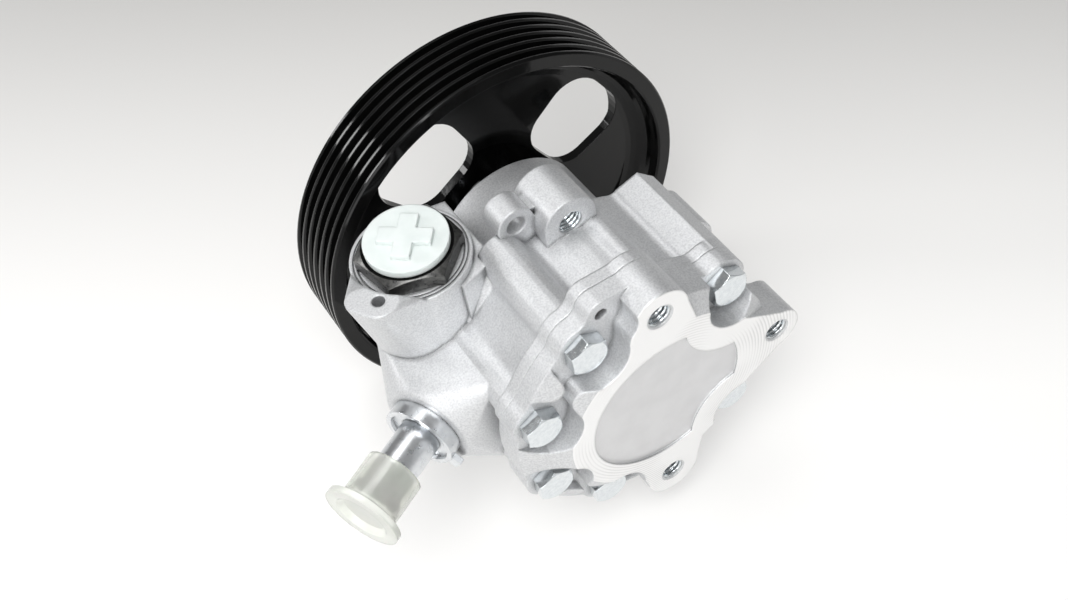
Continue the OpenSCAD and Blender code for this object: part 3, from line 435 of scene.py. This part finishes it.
# Plain finishes: one row each, with the size of its grain and how deep that grain is
plainFinishes = {
    "zincPlatedSteel": {  # bright cool silver with faint cloudy patches
        "dark": "#D6DBDE", "light": "#E4E8EA", "metallic": 1.0, "roughness": (0.14, 0.20),
        "grain": 1.2 * mm, "depth": 0.004 * mm, "edge": 0.3 * mm,
        "on": ["cover_bolts", "bearing_clip", "rotor_clip", "dowels"],
    },
    "brightRolledSteel": {  # drawn tube and rolled band: soft satin shine, with painted shade where they meet
        "dark": "#D4D7DA", "light": "#E2E4E6", "metallic": 1.0, "roughness": (0.26, 0.33),
        "grain": 2.0 * mm, "depth": 0.001 * mm, "edge": 0.3 * mm, "paintedNookShade": "#4A4B4D", "shade": 1.5 * mm,
        "on": ["inlet_tube", "tube_retainer"],
    },
    "glossBlackEnamel": {  # sprayed black enamel: deep gloss with a faint orange peel
        "dark": "#040404", "light": "#070707", "metallic": 0.0, "roughness": (0.07, 0.11),
        "grain": 5 * mm, "depth": 0.12 * mm, "edge": 0.35 * mm, "shine": 0.25, "on": ["pulley"],
    },
    "blackOxideSteel": {  # chemically blackened steel: dark, half gloss, brownish where thin
        "dark": "#4A4A4A", "light": "#666664", "metallic": 0.9, "roughness": (0.26, 0.36),
        "grain": 1.0 * mm, "depth": 0.01 * mm, "edge": 0.4 * mm, "top": "#0C0C0C", "topSlope": 0.9,
        "on": ["outlet_union", "disc_spring", "bearing_cage"],
    },
    "groundSteel": {  # fine ground bearing and pump steel
        "dark": "#A8ABAE", "light": "#C9CBCD", "metallic": 1.0, "roughness": (0.18, 0.28),
        "grain": 0.5 * mm, "depth": 0.005 * mm, "edge": 0.2 * mm,
        "on": ["drive_shaft", "bearing_outer", "bearing_inner", "bearing_balls", "rotor", "vanes", "cam_ring",
               "rear_plate", "front_plate", "flow_valve", "valve_spring"],
    },
    "leadedBronze": {  # warm dull yellow bush metal
        "dark": "#8F6A3A", "light": "#B98C52", "metallic": 1.0, "roughness": (0.30, 0.45),
        "grain": 0.6 * mm, "depth": 0.005 * mm, "edge": 0.2 * mm, "on": ["main_bush", "rear_bush"],
    },
    "mouldedNitrileRubber": {  # matt black seal rubber with a fine bloom
        "dark": "#0E0E0E", "light": "#1C1C1C", "metallic": 0.0, "roughness": (0.55, 0.75),
        "grain": 0.7 * mm, "depth": 0.02 * mm, "edge": 0.2 * mm,
        "on": ["cover_seal", "plate_seal", "union_seal", "tube_seal", "shaft_seal"],
    },
}
plainMaterials = {}
for name, finish in plainFinishes.items():
    material, shader = newMaterial(name)
    spot = addNode(material, "ShaderNodeTexCoord")
    grain = addNode(material, "ShaderNodeTexNoise", {
        "Vector": spot.outputs["Object"], "Scale": 1 / finish["grain"], "Detail": 3.0,
    })
    ramp = addNode(material, "ShaderNodeValToRGB", {0: grain.outputs["Fac"]})
    setRamp(ramp, (noiseLow, finish["dark"]), (noiseHigh, finish["light"]))
    tone = ramp.outputs[0]
    rough = addNode(material, "ShaderNodeMapRange", {
        "Value": grain.outputs["Fac"], "From Min": noiseLow, "From Max": noiseHigh,
        "To Min": finish["roughness"][0], "To Max": finish["roughness"][1],
    })
    edge = addNode(material, "ShaderNodeBevel", {"Radius": finish["edge"]}, samples=edgeSamples)
    bump = addNode(material, "ShaderNodeBump", {
        "Strength": 0.3, "Distance": finish["depth"],
        "Height": grain.outputs["Fac"], "Normal": edge.outputs[0],
    })
    if "top" in finish:  # faces that point up take the darker top colour
        surface = addNode(material, "ShaderNodeNewGeometry")
        split = addNode(material, "ShaderNodeSeparateXYZ", {0: surface.outputs["True Normal"]})
        isTop = addNode(material, "ShaderNodeMath", {
            0: split.outputs["Z"], 1: finish["topSlope"],
        }, operation="GREATER_THAN")
        topTone = addNode(material, "ShaderNodeMix", {
            "Factor": isTop.outputs[0], 6: tone, 7: hexColor(finish["top"]),
        }, data_type="RGBA")
        tone = topTone.outputs[2]
    # painted shade in the nooks, from ambient occlusion
    if "paintedNookShade" in finish:
        tone = paintNookShade(material, tone, finish)
    if "shine" in finish:
        shader.inputs["Specular IOR Level"].default_value = finish["shine"]
    feed(material, shader, {
        "Base Color": tone, "Roughness": rough.outputs[0], "Normal": bump.outputs[0],
        "Metallic": finish["metallic"],
    })
    for node in finish["on"]:
        dress(node, material)
    plainMaterials[name] = material
tappedThreads.data.materials.append(plainMaterials["zincPlatedSteel"])
valveCoil.data.materials.append(plainMaterials["groundSteel"])

# Moulded polyethylene: waxy white, light goes some way into it
plugFinish = {
    "dark": "#D6DDDB", "light": "#DFE5E3", "mottle": 5 * mm, "roughness": 0.38, "edge": 0.5 * mm,
    "soft": 0.5, "softDepth": 2 * mm,
}
plugPlastic, shader = newMaterial("whitePolyethylene")
spot = addNode(plugPlastic, "ShaderNodeTexCoord")
mottle = addNode(plugPlastic, "ShaderNodeTexNoise", {
    "Vector": spot.outputs["Object"], "Scale": 1 / plugFinish["mottle"], "Detail": 2.0,
})
tone = addNode(plugPlastic, "ShaderNodeValToRGB", {0: mottle.outputs["Fac"]})
setRamp(tone, (noiseLow, plugFinish["dark"]), (noiseHigh, plugFinish["light"]))
edge = addNode(plugPlastic, "ShaderNodeBevel", {"Radius": plugFinish["edge"]}, samples=edgeSamples)
feed(plugPlastic, shader, {
    "Base Color": tone.outputs[0], "Normal": edge.outputs[0], "Roughness": plugFinish["roughness"],
    "Subsurface Weight": plugFinish["soft"], "Subsurface Scale": plugFinish["softDepth"],
    "Subsurface Radius": (1.0, 1.0, 1.0),
})
dress("outlet_plug", plugPlastic)

# Unfilled soft polyethylene: see-through in the thin sleeve, cloudy and faint yellow-green in the thick rim
capFinish = {
    "dark": "#F4F8F0", "light": "#FFFFFA", "mottle": 6 * mm, "roughness": 0.10, "edge": 0.5 * mm, "ior": 1.45,
    "clear": 0.72, "milky": 0.38, "axis": (-0.8988, -0.4384, 0.0), "milkyFrom": 63.2 * mm, "milkyTo": 65.0 * mm,
}
capPlastic, shader = newMaterial("clearPolyethylene")
spot = addNode(capPlastic, "ShaderNodeTexCoord")
mottle = addNode(capPlastic, "ShaderNodeTexNoise", {
    "Vector": spot.outputs["Object"], "Scale": 1 / capFinish["mottle"], "Detail": 2.0,
})
tone = addNode(capPlastic, "ShaderNodeValToRGB", {0: mottle.outputs["Fac"]})
setRamp(tone, (noiseLow, capFinish["dark"]), (noiseHigh, capFinish["light"]))
edge = addNode(capPlastic, "ShaderNodeBevel", {"Radius": capFinish["edge"]}, samples=edgeSamples)
along = addNode(capPlastic, "ShaderNodeVectorMath", {
    0: spot.outputs["Object"], 1: capFinish["axis"],
}, operation="DOT_PRODUCT")
clear = addNode(capPlastic, "ShaderNodeMapRange", {
    "Value": along.outputs["Value"], "From Min": capFinish["milkyFrom"], "From Max": capFinish["milkyTo"],
    "To Min": capFinish["clear"], "To Max": capFinish["milky"],
})
feed(capPlastic, shader, {
    "Base Color": tone.outputs[0], "Normal": edge.outputs[0], "Roughness": capFinish["roughness"],
    "Transmission Weight": clear.outputs[0], "IOR": capFinish["ior"],
})
dress("inlet_cap", capPlastic)
print("finishes: dressed", len(nodes))

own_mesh(valveCoil)

scene.view_settings.view_transform = "Standard"
